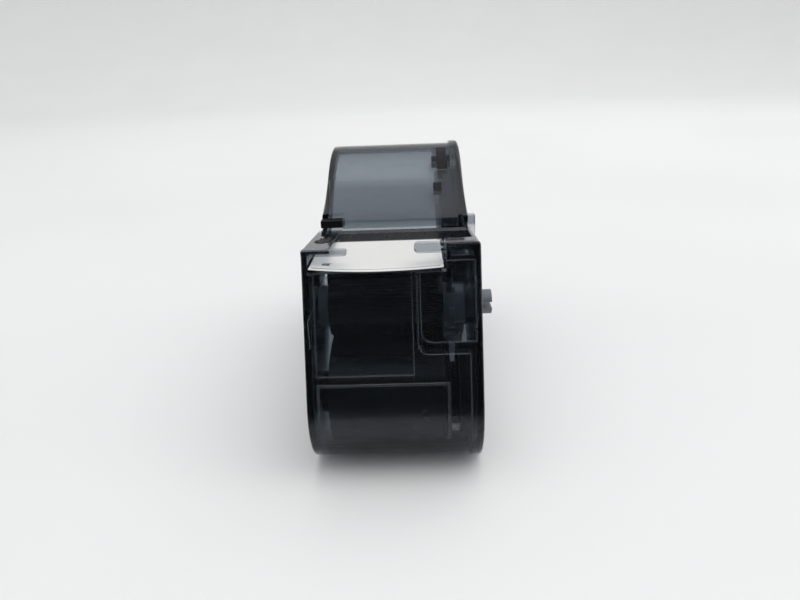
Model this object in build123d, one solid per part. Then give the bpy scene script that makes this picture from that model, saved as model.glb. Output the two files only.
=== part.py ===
"""Label cassette for a hand-held label printer, standing on its narrow edge.

The front lobe holds the ink ribbon, the rear drum holds the label roll, and the label strip
runs forward over the waist and leaves under two fingers at the front edge.
X is the thickness, from the base's side plate to the lid. Y is the length, front to rear.
Z is up. All side shapes are drawn in (Y, Z) and stretched along X.
"""

from build123d import *
from math import acos, asin, atan2, cos, degrees, hypot, radians, sin, tan
import os

# --- Driving dimensions, in millimetres and degrees -------------------------------------
THICK = 34.0  # base side plate to lid face
LABEL_W = 25.4  # width of the label strip
WALL = 1.5  # wall around the edge of the shells
DRUM_WALL = 1.0  # the same wall over the label roll
PLATE = 1.2  # the two side plates
RIM_PROUD = 0.6  # how far the lid's rim stands out past the base
LID_RISE = 0.35  # how much higher than the base's the lid's ledge starts
SPLIT = 2.4  # the lid rim's depth, from its face
WEB_Y = (0.5, 8.5, 20.0)  # webs behind the wall that guides the label's right edge
WEB_T = 1.0
RUN = 0.08  # radial clearance of everything that turns
GAP = 0.15  # gap between a strip and what it runs over
FIT = 0.12  # gap round parts that are set into a shell

LOBE = (0.0, 12.66)  # centre of the front lobe's round end
LOBE_R = 12.66
LEAN = 16.5  # how far the front face leans back
TOP_FRONT_Z = 44.6  # height of the ledge at the front face
TOP_REAR = (23.5, 42.3)  # where the ledge meets the lip of the drum's fairing
DRUM = (59.5, 28.5)
DRUM_R = 28.5
WAIST_R = 12.0  # hollow of the waist, underneath
FAIRING_R = 50.0  # hollow sweep from the ledge up to the drum
FAIRING_MEETS = 124.0  # how far round the drum that sweep begins
EDGE_EASE = 0.5  # rounding of the base's outer edge
LID_EASE = 0.7  # rounding of the lid's outer edge

SKIRT_X = 4.8  # the lid's raised front panel starts here
SKIRT_Z = 25.5  # and this far up
SKIRT_CORNER = 2.0
RECESS_X = 0.6  # the raised border round that panel, at its left
RECESS_Z = 2.2  # and along its foot
RECESS_DEEP = 0.3
FACE_TOP_Z = 40.4  # the front wall stops here, below the label strip
FACE_END_Y = 2.0  # everything in front of this belongs to the front wall
FACE_X0 = -14.8  # left edge of the fields on the base's front
FIELD_DEEP = 0.25  # the upper field lies this much below the surface
FIELD_Z = 21.6
GROOVE_Z = 19.9  # top of the lower field, which a groove outlines
GROOVE_X1 = 10.5
GROOVE_W = 0.3
GROOVE_DEEP = 0.2
WRAP_Y = 9.0  # that outline runs this far back under the lobe

FINGER_BASE_X = -8.3  # tip of the finger on the base
FINGER_LID_X = 4.4  # tip of the finger on the lid
FINGER_BASE_H = 1.1
FINGER_LID_H = 1.9
FINGER_D = 1.6
DECK_X1 = -11.8  # right edge of the ledge deck over the label's left edge
DECK_T = 0.9
DECK_REAR_Y = 21.7
NOTCH_Y = 27.5  # the fairing is cut back to here at the left
NOTCH_Z = 41.7
BAR_Y = (14.8, 17.8)  # bar across the waist
BAR_Z = (41.6, 43.2)
BLOCK_FRONT_Y = 24.3  # black block that fills the rear of that cut
BLOCK_Z = (42.4, 44.0)

CORE_POST_R = 8.0  # hollow post that carries the label core
CORE_BORE_R = 6.5  # open bore through that post
CORE_WALL = 1.5
LABEL_ROLL_R = 26.2
LABEL_T = 0.3
LABEL_OUT = 0.5  # how far the label's end stands out past the front face
LABEL_END_UP = 0.45  # and above the front wall
RIB_RING_R = 22.0  # ring that keeps the roll square
RIB_T = 1.0
RIB_TURN = 60  # between the lid's ribs
FELT_R = 12.0

SUPPLY = (0.3, 12.9)  # ribbon supply spool
SUPPLY_R = 10.1
TAKEUP = (5.8, 30.1)  # ribbon take-up spool
TAKEUP_R = 6.2
RIBBON_X0 = -13.2
RIBBON_X1 = 10.0
RIBBON_T = 0.12
SPOOL_X0 = -15.4  # left end of both spool tubes
SPOOL_POST_R = 2.0
SPOOL_WALL = 2.2
COLLAR_X = (11.2, 12.4)  # collar and keys at the right end of the spools
COLLAR_R = 5.6
FLANGE_R = 10.4  # disc at the right end of the supply roll
FLANGE_X = (10.1, 10.9)
SHROUD = (9.7, 9.0)  # outer and inner radius of the ring round the drag spring
SHROUD_X = 12.7
KEY_R = 5.4  # keys on the take-up spool, inside the lid
KEY_HALF = 0.6
DOG_R = 2.55  # drive dog outside the lid
DOG_JOURNAL_R = 3.2
DOG_SLOT = 1.4
DOG_OUT = 3.1
BOSS_R = 4.8  # boss round the take-up spool's journal

PIN_R = 0.75
PIN_WALL = 0.9  # wall of the sockets and bosses round the pins
PIN_DEEP = 3.0  # how far the pins reach into the lid's bosses
PIN_END = 0.5  # plastic left outside the pins' left ends
ROLLER_R = 1.7
RIBBON_ROLLER_R = 1.5
RELIEF_W = 0.8  # relief grooves of the rollers
RELIEF_DEEP = 0.25
RELIEF_INSET = 4.0
EXIT_ROLLER = (11.5, 40.05)
DIP_ROLLER = (24.5, 38.3)
RIBBON_LOW = (30.6, 26.0)
RIBBON_HIGH = (30.6, 32.0)
PEEL_BAR = (13.4, 36.0)
PEEL_R = 1.2

WELL_Y = (16.5, 27.5)  # print-head well, open right through both side plates
WELL_Z = (26.0, 33.2)
WELL_WALL = 1.2

SNAP_DRUM = (-100, -45, 10, 62)  # where the shells clip together, round the drum
SNAP_LOBE = (-60, -150)  # and round the lobe
SNAP = (2.0, 1.0, 3.4)  # width, thickness and length of a snap tab
SNAP_GAP = 0.1

CLIP_ANGLE = 22.5  # how far forward of the drum's top the black clip sits
CLIP_FLUSH = 0.05  # it ends this much below the drum's surface
CLIP_CLEAR = 0.4  # and clears the label roll by this much
CLIP_UPRIGHT = ((10.9, 13.4), (-5.4, 5.4))  # X and length of the cross's two bars
CLIP_CROSSBAR = ((9.5, 14.3), (-2.4, 0.2))
CLIP_STEM = ((11.2, 12.4), (-0.8, 0.8))
PAD_X = (9.6, 11.6)  # black pad in the fairing below that clip
PAD_Y = 37.8
PAD_L = 3.6
PAD_T = 1.0
LATCH_Y = 6.0
LATCH_T = 1.15
CELL_Y = (-3.0, 6.0)  # memory cell on the base's side plate
CELL_Z = (24.0, 30.0)
CELL_DEEP = 0.7
CONTACTS = 4
CONTACT_PITCH = 2.1
CONTACT_W = 1.4
CONTACT_T = 0.1
STICKER_Y = (44.0, 75.0)
STICKER_Z = (39.5, 50.0)
STICKER_DEEP = 0.12
STICKER_T = 0.1
LUG_Y = (38.2, 41.2)  # locating lug outside the lid, beside the waist
LUG_Z = (34.6, 41.2)
LUG_HEAD_Z = 38.6  # its lower part, below this, is a thin fin
FIN_T = 0.6

# --- Values worked out from them --------------------------------------------------------
FAR = 120.0  # past everything
LEFT = -THICK / 2
RIGHT = THICK / 2
IN_LEFT = LEFT + PLATE  # inner face of the base's plate
IN_RIGHT = RIGHT - PLATE  # inner face of the lid's plate
RIM_X = RIGHT - SPLIT  # the base's edge wall meets the lid's rim here
LABEL_X0 = IN_LEFT + 0.3
LABEL_X1 = LABEL_X0 + LABEL_W
EDGE_WALL_X = LABEL_X1 + 0.5  # the lid's wall that guides the label's right edge
POST_END_X = LABEL_X1 + 2.0  # right end of the base's hollow post
CORE_R = CORE_POST_R + RUN + CORE_WALL
SPOOL_R = SPOOL_POST_R + RUN + SPOOL_WALL
SHIFT = Pos(
    -(LEFT + RIGHT + DOG_OUT) / 2,
    -(LOBE[0] - LOBE_R + DRUM[0] + DRUM_R) / 2,
    0,
)  # puts the origin under the middle of the whole cassette
ROLLER_PINS = [
    (EXIT_ROLLER, PIN_R),
    (DIP_ROLLER, PIN_R),
    (RIBBON_LOW, PIN_R),
    (RIBBON_HIGH, PIN_R),
    (PEEL_BAR, PEEL_R),
]


# --- Helpers ----------------------------------------------------------------------------
def prism(face, x0, x1):
    """A (Y, Z) face stretched from x0 to x1."""
    return Pos(x0, 0, 0) * extrude(Plane.YZ * face, x1 - x0)


def rod(centre, radius, x0, x1):
    """A round bar along X."""
    return Pos((x0 + x1) / 2, centre[0], centre[1]) * Rot(0, 90, 0) * Cylinder(radius, x1 - x0)


def tube(centre, outer, inner, x0, x1):
    """A round tube along X."""
    return rod(centre, outer, x0, x1) - rod(centre, inner, x0 - 1, x1 + 1)


def block(x, y, z):
    """A box from three (low, high) pairs."""
    size = [b - a for a, b in (x, y, z)]
    middle = [(a + b) / 2 for a, b in (x, y, z)]
    return Pos(*middle) * Box(*size)


def along(centre, radius, angle):
    """The point at an angle in degrees on a circle."""
    a = radians(angle)
    return (centre[0] + radius * cos(a), centre[1] + radius * sin(a))


def bearing(a, b):
    """The direction from a to b in degrees."""
    return degrees(atan2(b[1] - a[1], b[0] - a[0]))


def grown(pair, amount):
    """A (low, high) pair made longer at both ends."""
    return (pair[0] - amount, pair[1] + amount)


def front_y(z):
    """The front face's Y at a height."""
    foot = along(LOBE, LOBE_R, 180 - LEAN)
    return foot[0] + (z - foot[1]) * tan(radians(LEAN))


def ledge_z(y):
    """The ledge's height at a distance from the front."""
    y0 = front_y(TOP_FRONT_Z)
    return TOP_FRONT_Z + (TOP_REAR[1] - TOP_FRONT_Z) * (y - y0) / (TOP_REAR[0] - y0)


def waist_centre():
    """Centre of the hollow that touches the lobe and the drum from below."""
    a = LOBE_R + WAIST_R
    b = DRUM_R + WAIST_R
    span = hypot(DRUM[0] - LOBE[0], DRUM[1] - LOBE[1])
    turn = degrees(acos((a * a + span * span - b * b) / (2 * a * span)))
    return along(LOBE, a, bearing(LOBE, DRUM) - turn)


def side_profile(front_top_z):
    """The cassette's outline from the side, for a ledge that starts at that height."""
    waist = waist_centre()
    fairing = along(DRUM, DRUM_R + FAIRING_R, FAIRING_MEETS)
    lobe_end = bearing(LOBE, waist)
    drum_start = bearing(waist, DRUM)
    corner = (front_y(front_top_z), front_top_z)
    fairing_end = -degrees(acos((TOP_REAR[0] - fairing[0]) / FAIRING_R))
    lip = along(fairing, FAIRING_R, fairing_end)
    lines = [
        Line(corner, along(LOBE, LOBE_R, 180 - LEAN)),
        CenterArc(LOBE, LOBE_R, 180 - LEAN, 180 + lobe_end + LEAN),
        CenterArc(waist, WAIST_R, lobe_end + 180, drum_start - lobe_end - 180),
        CenterArc(DRUM, DRUM_R, drum_start - 180, FAIRING_MEETS - drum_start + 180),
        CenterArc(
            fairing, FAIRING_R, FAIRING_MEETS - 180, fairing_end - FAIRING_MEETS + 180
        ),
        Line(lip, TOP_REAR),
        Line(TOP_REAR, corner),
    ]
    return make_face(lines)


def strip_path(stops):
    """Straight runs and arcs of a strip that passes (centre, radius, side) stops in turn.

    side is 1 where the strip turns anticlockwise round the stop and -1 where it turns
    clockwise. A stop of radius 0 is a plain point.
    """
    runs = []
    for (c0, r0, s0), (c1, r1, s1) in zip(stops, stops[1:]):
        span = hypot(c1[0] - c0[0], c1[1] - c0[1])
        heading = bearing(c0, c1) + degrees(asin((s0 * r0 - s1 * r1) / span))
        start = along(c0, r0, heading - 90 * s0)
        end = along(c1, r1, heading - 90 * s1)
        runs.append((start, end, heading))
    lines = [Line(start, end) for start, end, heading in runs]
    for (centre, radius, side), before, after in zip(stops[1:], runs, runs[1:]):
        turn = (after[2] - before[2] + 180) % 360 - 180
        lines.append(CenterArc(centre, radius, before[2] - 90 * side, turn))
    return lines


def strip(stops, thickness, x0, x1):
    """A thin strip along that path."""
    faces = [trace(line, thickness) for line in strip_path(stops)]
    body = prism(faces[0], x0, x1)
    for face in faces[1:]:
        body += prism(face, x0, x1)
    return body


# --- Shells -----------------------------------------------------------------------------
OUTSIDE = side_profile(TOP_FRONT_Z)
INSIDE = offset(OUTSIDE, amount=-WALL)
LID_OUTSIDE = offset(side_profile(TOP_FRONT_Z + LID_RISE), amount=RIM_PROUD, kind=Kind.ARC)
LEDGE_FRONT_Y = front_y(TOP_FRONT_Z)
LEDGE_GAP_Y = LEDGE_FRONT_Y + 2.2  # the edge wall is open behind this


def eased_plate(face, x0, x1, eased_x, radius):
    """A side plate whose outer edge is rounded."""
    plate = prism(face, x0, x1)
    outer = plate.faces().sort_by(Axis.X)[0 if eased_x == x0 else -1]
    return fillet(outer.edges(), radius)


def edge_wall(x0, x1):
    """The wall round the edge, open along the ledge."""
    ring = prism(OUTSIDE - INSIDE, x0, x1)
    across = (x0 - 1, x1 + 1)
    ledge_gap = block(across, (LEDGE_GAP_Y, TOP_REAR[0]), (WELL_Z[1], FAR))
    under_lip = block(across, (LEDGE_GAP_Y, TOP_REAR[0] + WALL), (WELL_Z[1], TOP_REAR[1]))
    top_slot = block(across, (-FAR, TOP_REAR[0]), (FACE_TOP_Z, FAR))
    return ring - ledge_gap - under_lip - top_slot


def corner_zone(x0, z0, corner):
    """Everything at the front that lies right of x0 and above z0, with a rounded corner."""
    panel = Pos((x0 + FAR) / 2, (z0 + FAR) / 2) * RectangleRounded(FAR - x0, FAR - z0, corner)
    return Pos(0, -FAR, 0) * extrude(Plane.XZ * panel, -(FAR + FACE_END_Y))


def front_skin(depth, x0, x1, z0, z1):
    """The outermost layer of the base's front, that deep, between these widths and heights."""
    layer = prism(OUTSIDE - offset(OUTSIDE, amount=-depth), x0, x1)
    return layer & block((x0, x1), (-FAR, WRAP_Y), (z0, z1))


def finger(x0, x1, tip, z_top, height, proud):
    """A flat finger across the front edge, from x0 to x1, with a round end at its tip."""
    round_r = height / 2
    y0 = front_y(z_top) - proud
    inward = tip - round_r if tip == x1 else tip + round_r
    straight = (x0, inward) if tip == x1 else (inward, x1)
    bar = block(straight, (y0, y0 + FINGER_D), (z_top - height, z_top))
    end = Rot(90, 0, 0) * Cylinder(round_r, FINGER_D)
    return bar + Pos(inward, y0 + FINGER_D / 2, z_top - round_r) * end


def snap_tab(x, grow):
    """One snap tab, wherever it goes, grown by that much."""
    width, thickness, length = SNAP
    return Pos(x, 0, 0) * Box(width + grow, thickness + grow, length + grow)


def snap_tabs(grow=0.0):
    """All snap tabs, in place across the joint between the shells."""
    tabs = []
    places = [(DRUM, DRUM_R, angle) for angle in SNAP_DRUM]
    places += [(LOBE, LOBE_R, angle) for angle in SNAP_LOBE]
    for centre, radius, angle in places:
        y, z = along(centre, radius - WALL - SNAP[1] / 2, angle)
        tabs.append(Pos(0, y, z) * Rot(angle, 0, 0) * snap_tab(RIM_X, grow))
    return tabs


def front_fields():
    """What is sunk into the base's front: the upper field, and the lower field's outline."""
    low, high = GROOVE_Z - GROOVE_W / 2, GROOVE_Z + GROOVE_W / 2
    fields = [
        front_skin(FIELD_DEEP, FACE_X0, SKIRT_X - 1, FIELD_Z, FACE_TOP_Z + 1),
        front_skin(GROOVE_DEEP, FACE_X0, GROOVE_X1, low, high),
    ]
    for x in (FACE_X0 + GROOVE_W / 2, GROOVE_X1 - GROOVE_W / 2):
        fields.append(front_skin(GROOVE_DEEP, x - GROOVE_W / 2, x + GROOVE_W / 2, -1, low))
    return fields


def base_housing():
    """Side plate, edge wall, posts, well wall, ledge deck and finger, in one moulding."""
    body = eased_plate(OUTSIDE, LEFT, IN_LEFT, LEFT, EDGE_EASE)
    body += edge_wall(IN_LEFT, RIM_X)
    opening = corner_zone(SKIRT_X - FIT, SKIRT_Z - FIT, SKIRT_CORNER)
    body -= opening & prism(OUTSIDE, SKIRT_X - 1, RIM_X + 1)
    for field in front_fields():
        body -= field

    # The wall is thinner over the label roll.
    body -= tube(DRUM, DRUM_R - DRUM_WALL, DRUM_R - WALL - 0.2, LABEL_X0, LABEL_X1 + 0.3)

    # Deck over the label's left edge, with the front finger and the latch's pocket.
    band = block((LEFT, DECK_X1), (LEDGE_FRONT_Y, DECK_REAR_Y), (TOP_REAR[1] - 2, FAR))
    body += prism(OUTSIDE - Pos(0, -DECK_T) * OUTSIDE, LEFT, DECK_X1) & band
    body += finger(LEFT, FINGER_BASE_X, FINGER_BASE_X, TOP_FRONT_Z, FINGER_BASE_H, 0.0)
    body -= latch_shape(FIT, FAR)

    # The fairing's lip is cut back at the left, for a black block.
    body -= block((LEFT - 1, DECK_X1), (DECK_REAR_Y, NOTCH_Y), (NOTCH_Z, FAR))

    # Print-head well: through the plate, with a wall on three sides.
    ring = block(
        (IN_LEFT, RIM_X), grown(WELL_Y, WELL_WALL), (WELL_Z[0] - WELL_WALL, WELL_Z[1])
    )
    body += ring & prism(INSIDE, IN_LEFT, RIM_X)
    body -= block((LEFT - 1, RIM_X + 1), WELL_Y, (WELL_Z[0], WELL_Z[1] + 0.01))

    # Hollow post for the label core, and posts for the two ribbon spools.
    body += rod(DRUM, CORE_POST_R, IN_LEFT, POST_END_X)
    body -= rod(DRUM, CORE_BORE_R, LEFT - 1, POST_END_X + 1)
    body += tube(DRUM, RIB_RING_R, RIB_RING_R - 0.8, IN_LEFT, LABEL_X0 - 0.05)
    body += rod(SUPPLY, SPOOL_POST_R, IN_LEFT, LABEL_X1 - 2)
    body += rod(TAKEUP, SPOOL_POST_R, IN_LEFT, 2.0)

    # Sockets for the pins.
    for centre, radius in ROLLER_PINS:
        body += rod(centre, radius + PIN_WALL, IN_LEFT, LABEL_X0 - 0.05)
        body -= rod(centre, radius, LEFT + PIN_END, LABEL_X0)

    for tab in snap_tabs():
        body += tab

    # Openings for the clip and the pad, the memory cell and the sticker, and a moulded ring.
    body -= clip_shape(FIT, FAR)
    body -= pad_shape(FIT, PAD_T)
    body -= block((LEFT - 1, LEFT + CELL_DEEP), CELL_Y, CELL_Z)
    body -= block((LEFT - 1, LEFT + STICKER_DEEP), STICKER_Y, STICKER_Z)
    body -= tube(DRUM, CORE_R + 1, CORE_R + 0.2, LEFT - 1, LEFT + 0.3)
    return body


def lid_skirt():
    """Front panel of the lid, with a raised border, and the lid's share of the upper front."""
    shell = prism(LID_OUTSIDE - INSIDE, SKIRT_X, IN_RIGHT)
    front = (-FAR, FACE_END_Y)
    panel = corner_zone(SKIRT_X, SKIRT_Z, SKIRT_CORNER) & shell
    panel = panel & block((-FAR, FAR), front, (-1, FACE_TOP_Z))
    return panel + (shell & block((EDGE_WALL_X, RIGHT), front, (FACE_TOP_Z - 1, FAR)))


def lid_cover():
    """Face plate, proud rim, front skirt with its finger, edge guide and bosses."""
    above_floor = block((-FAR, FAR), (-FAR, FAR), (0, FAR))
    body = eased_plate(LID_OUTSIDE, IN_RIGHT, RIGHT, RIGHT, LID_EASE)
    rim = prism(LID_OUTSIDE - INSIDE, RIM_X, IN_RIGHT)
    body += rim - block((RIM_X - 1, IN_RIGHT), (FACE_END_Y, TOP_REAR[0]), (WELL_Z[1], FAR))
    body = body & above_floor
    body += lid_skirt()
    recess = corner_zone(SKIRT_X + RECESS_X, SKIRT_Z + RECESS_Z, SKIRT_CORNER)
    skin = prism(LID_OUTSIDE - offset(LID_OUTSIDE, amount=-RECESS_DEEP), SKIRT_X, IN_RIGHT)
    body -= recess & skin & block((-FAR, FAR), (-FAR, FACE_END_Y), (0, TOP_FRONT_Z - 2.2))
    finger_top = TOP_FRONT_Z + LID_RISE + RIM_PROUD
    body += finger(FINGER_LID_X, RIGHT - 1, FINGER_LID_X, finger_top, FINGER_LID_H, 0.4)

    # Wall that guides the label's right edge, tied to the plate by webs.
    guide_low = TAKEUP[1] + KEY_R + 0.4
    guide = prism(INSIDE, EDGE_WALL_X, EDGE_WALL_X + WEB_T)
    body += guide & block((0, RIGHT), (-FAR, TOP_REAR[0]), (guide_low, FAR))
    for y in WEB_Y:
        web_top = ledge_z(y) - WALL - WEB_T
        body += block((EDGE_WALL_X, IN_RIGHT), (y, y + WEB_T), (guide_low, web_top))

    # Bosses that carry the pins' far ends.
    for centre, radius in ROLLER_PINS:
        body += rod(centre, radius + PIN_WALL, EDGE_WALL_X, IN_RIGHT)
        body -= rod(centre, radius, EDGE_WALL_X - 1, EDGE_WALL_X + PIN_DEEP)

    # Label drum: boss behind the core post, and ribs that keep the roll square.
    body += rod(DRUM, CORE_POST_R + 2.0, POST_END_X + 0.1, IN_RIGHT)
    body += tube(DRUM, RIB_RING_R, RIB_RING_R - 1, EDGE_WALL_X + 0.6, IN_RIGHT)
    rib_x = (EDGE_WALL_X + 2.2, IN_RIGHT)
    for angle in range(RIB_TURN // 2, 360, RIB_TURN):
        rib = block(rib_x, (CORE_POST_R + 1, RIB_RING_R - 0.5), (-RIB_T / 2, RIB_T / 2))
        body += Pos(0, DRUM[0], DRUM[1]) * Rot(angle, 0, 0) * rib
    body -= rod(DRUM, CORE_BORE_R, 0, RIGHT + 1)

    # Bearings for the ribbon spools.
    body += rod(TAKEUP, BOSS_R, IN_RIGHT - 1.4, IN_RIGHT)
    body -= rod(TAKEUP, DOG_JOURNAL_R + RUN, 0, RIGHT + 1)
    body += tube(SUPPLY, COLLAR_R, COLLAR_R - 0.8, IN_RIGHT - 2.2, IN_RIGHT)

    # Print-head well.
    body -= block((0, RIGHT + 1), WELL_Y, WELL_Z)

    # Locating lug outside, a head on a thin fin.
    lug_x = (RIGHT, RIGHT + DOG_OUT - 0.1)
    body += block(lug_x, LUG_Y, (LUG_HEAD_Z, LUG_Z[1]))
    body += block(lug_x, (LUG_Y[0], LUG_Y[0] + FIN_T), LUG_Z)

    # Moulded rings on the outer face, and pockets for the snap tabs.
    body -= tube(DRUM, LABEL_ROLL_R + 0.2, LABEL_ROLL_R - 0.4, RIGHT - 0.3, RIGHT + 1)
    body -= tube(TAKEUP, COLLAR_R, COLLAR_R - 0.5, RIGHT - 0.3, RIGHT + 1)
    for tab in snap_tabs(SNAP_GAP):
        body -= tab
    return body


# --- Label parts ------------------------------------------------------------------------
LABEL_REACH = GAP + LABEL_T / 2  # from a surface to the middle of the strip that passes it
LABEL_STOPS = [
    (DRUM, LABEL_ROLL_R + LABEL_REACH, 1),
    (DIP_ROLLER, ROLLER_R + LABEL_REACH, -1),
    (EXIT_ROLLER, ROLLER_R + LABEL_REACH, 1),
    ((front_y(FACE_TOP_Z) - LABEL_OUT, FACE_TOP_Z + LABEL_END_UP), 0.0, 1),
]


def label_core():
    """Tube that the labels are wound on."""
    return tube(DRUM, CORE_R, CORE_POST_R + RUN, LABEL_X0, LABEL_X1 + 0.3)


def label_roll():
    """Wound labels on their liner."""
    return tube(DRUM, LABEL_ROLL_R, CORE_R, LABEL_X0, LABEL_X1)


def label_strip():
    """Leading end of the labels, from the roll to the front edge."""
    return strip(LABEL_STOPS, LABEL_T, LABEL_X0, LABEL_X1)


# --- Ribbon parts -----------------------------------------------------------------------
RIBBON_REACH = GAP + RIBBON_T / 2
RIBBON_STOPS = [
    (SUPPLY, SUPPLY_R + RIBBON_REACH, -1),
    (RIBBON_LOW, RIBBON_ROLLER_R + RIBBON_REACH, 1),
    (RIBBON_HIGH, RIBBON_ROLLER_R + RIBBON_REACH, 1),
    (PEEL_BAR, PEEL_R + RIBBON_T / 2, 1),
    (TAKEUP, TAKEUP_R + RIBBON_REACH, 1),
]


def supply_core():
    """Tube of the supply spool, with a flange, and a collar for its drag spring."""
    core = tube(SUPPLY, SPOOL_R, SPOOL_POST_R + RUN, SPOOL_X0, COLLAR_X[1])
    core += tube(SUPPLY, FLANGE_R, SPOOL_R - 0.2, *FLANGE_X)
    return core + tube(SUPPLY, COLLAR_R, SPOOL_R - 0.2, *COLLAR_X)


def supply_roll():
    """Unused ink ribbon."""
    return tube(SUPPLY, SUPPLY_R, SPOOL_R, RIBBON_X0, RIBBON_X1)


def takeup_core():
    """Tube of the take-up spool, with the slotted drive dog that passes through the lid."""
    shoulder_x = IN_RIGHT - 1.5
    dog_x = RIGHT + 0.3
    core = rod(TAKEUP, SPOOL_R, SPOOL_X0, shoulder_x)
    core += rod(TAKEUP, DOG_JOURNAL_R, shoulder_x, dog_x)
    core += rod(TAKEUP, DOG_R, dog_x, RIGHT + DOG_OUT)
    core -= rod(TAKEUP, SPOOL_POST_R + RUN, SPOOL_X0 - 1, 2.3)
    at_axis = Pos(0, TAKEUP[0], TAKEUP[1])
    half = DOG_SLOT / 2
    core -= at_axis * block((dog_x + 0.2, RIGHT + DOG_OUT + 1), (-4, 4), (-half, half))
    for turn in range(0, 360, 60):
        key = block(COLLAR_X, (SPOOL_R - 0.2, KEY_R), (-KEY_HALF, KEY_HALF))
        core += at_axis * Rot(turn, 0, 0) * key
    return core


def takeup_roll():
    """Used ink ribbon."""
    return tube(TAKEUP, TAKEUP_R, SPOOL_R, RIBBON_X0, RIBBON_X1)


def ribbon_strip():
    """Ink ribbon on its way round the print-head well."""
    return strip(RIBBON_STOPS, RIBBON_T, RIBBON_X0, RIBBON_X1)


# --- Rollers, pins, springs and trim ----------------------------------------------------
def roller(centre, radius):
    """A sleeve that turns on its pin, with shallow relief grooves."""
    x0, x1 = LABEL_X0 + 0.1, LABEL_X1
    body = tube(centre, radius, PIN_R + RUN, x0, x1)
    for x in (x0 + RELIEF_INSET, (x0 + x1) / 2, x1 - RELIEF_INSET):
        low, high = x - RELIEF_W / 2, x + RELIEF_W / 2
        body -= tube(centre, radius + 1, radius - RELIEF_DEEP, low, high)
    return body


def pin(centre, radius):
    """A steel pin from the base's plate into the lid's boss."""
    return rod(centre, radius, LEFT + PIN_END, EDGE_WALL_X + PIN_DEEP)


def guide_pins():
    """Steel pins of the four rollers."""
    return Compound([pin(centre, radius) for centre, radius in ROLLER_PINS[:4]])


def peel_bar():
    """Fixed steel bar where the used ribbon leaves the label."""
    return pin(PEEL_BAR, PEEL_R)


def cross_bar():
    """Bar across the waist, from the deck to the lid, over the dip in the label's path."""
    return block((DECK_X1, IN_RIGHT), BAR_Y, BAR_Z)


def drag_spring():
    """Bent leaf that rubs on the supply spool's collar."""
    y, z = SUPPLY
    leaf_t = 0.25
    leaf_x = (COLLAR_X[0] + 0.1, COLLAR_X[1] - 0.1)
    low = z - COLLAR_R - GAP - 0.1
    bend = (y + 1.0, low)
    leaf = prism(trace(Line((y - 4.5, low), bend), leaf_t), *leaf_x)
    leaf += prism(trace(Line(bend, (y + 4.2, low + 1.0)), leaf_t), *leaf_x)
    foot = block((leaf_x[0], IN_RIGHT), (y - 5.4, y - 4.4), (low - 1.1, low + 0.5))
    return leaf + foot


def spring_shroud():
    """Ring on the lid that keeps loose ribbon away from the drag spring."""
    return tube(SUPPLY, *SHROUD, SHROUD_X, IN_RIGHT)


def felt_washer():
    """Felt ring that rubs on the end of the label core."""
    return tube(DRUM, FELT_R, CORE_POST_R + 0.1, LABEL_X1 + 0.45, POST_END_X + 0.1)


def clip_shape(clear=0.0, top=DRUM_R - CLIP_FLUSH):
    """The clip's cross, flush with the drum, grown by clear; top is how far out it reaches."""
    low = LABEL_ROLL_R + CLIP_CLEAR
    out = DRUM_R + 1.0
    bars = []
    for x, y in (CLIP_UPRIGHT, CLIP_CROSSBAR):
        bars.append(block(grown(x, clear), grown(y, clear), (low, out)))
    reach = rod(DRUM, min(top, out), EDGE_WALL_X - 2, RIM_X)
    at_clip = Pos(0, DRUM[0], DRUM[1]) * Rot(CLIP_ANGLE, 0, 0)
    return at_clip * (bars[0] + bars[1]) & reach


def roll_clip():
    """Black cross-shaped clip set into the drum's wall at the right end of the roll."""
    deep = (RIB_RING_R + 0.2, LABEL_ROLL_R + CLIP_CLEAR + 0.1)
    stem = block(*CLIP_STEM, deep)
    return clip_shape() + Pos(0, DRUM[0], DRUM[1]) * Rot(CLIP_ANGLE, 0, 0) * stem


def pad_shape(clear=0.0, above=0.0):
    """The pad, flush with the fairing, grown by clear at its sides and upwards by above."""
    fairing = along(DRUM, DRUM_R + FAIRING_R, FAIRING_MEETS)
    down = degrees(acos((PAD_Y - fairing[0]) / FAIRING_R))
    y, z = along(fairing, FAIRING_R + 0.05, -down)
    box = block(grown(PAD_X, clear), grown((-PAD_L / 2, PAD_L / 2), clear), (-PAD_T, above))
    return Pos(0, y, z) * Rot(90 - down, 0, 0) * box


def edge_pad():
    """Small black pad set into the fairing below the clip."""
    return pad_shape()


def rear_block():
    """Black block at the left of the waist."""
    return block((LEFT, DECK_X1), (BLOCK_FRONT_Y, NOTCH_Y), BLOCK_Z)


def latch_shape(clear=0.0, above=0.1):
    """The latch's stepped plan, grown sideways by clear; above is how far up it reaches."""
    z = ledge_z(LATCH_Y)
    plan = [
        ((1.3, 4.3), (0.0, 1.7)),
        ((2.0, 3.2), (-1.3, 3.0)),
        ((3.4, 4.3), (1.6, 4.0)),
    ]
    depth = (z - LATCH_T - clear * 10, z + above)
    body = None
    for (x0, x1), (y0, y1) in plan:
        across = grown((LEFT + x0, LEFT + x1), clear)
        part = block(across, grown((LATCH_Y + y0, LATCH_Y + y1), clear), depth)
        body = part if body is None else body + part
    return body


def deck_latch():
    """Black latch set into the ledge deck."""
    return latch_shape()


def memory_cell():
    """Circuit board with the cassette's memory chip."""
    return block((LEFT + CONTACT_T, LEFT + CELL_DEEP), CELL_Y, CELL_Z)


def cell_contacts():
    """Gold pads on the circuit board."""
    middle = sum(CELL_Y) / 2
    z = grown(CELL_Z, -1.0)
    pads = []
    for i in range(CONTACTS):
        y = middle + (i - (CONTACTS - 1) / 2) * CONTACT_PITCH
        pads.append(block((LEFT, LEFT + CONTACT_T), grown((y, y), CONTACT_W / 2), z))
    return Compound(pads)


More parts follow.
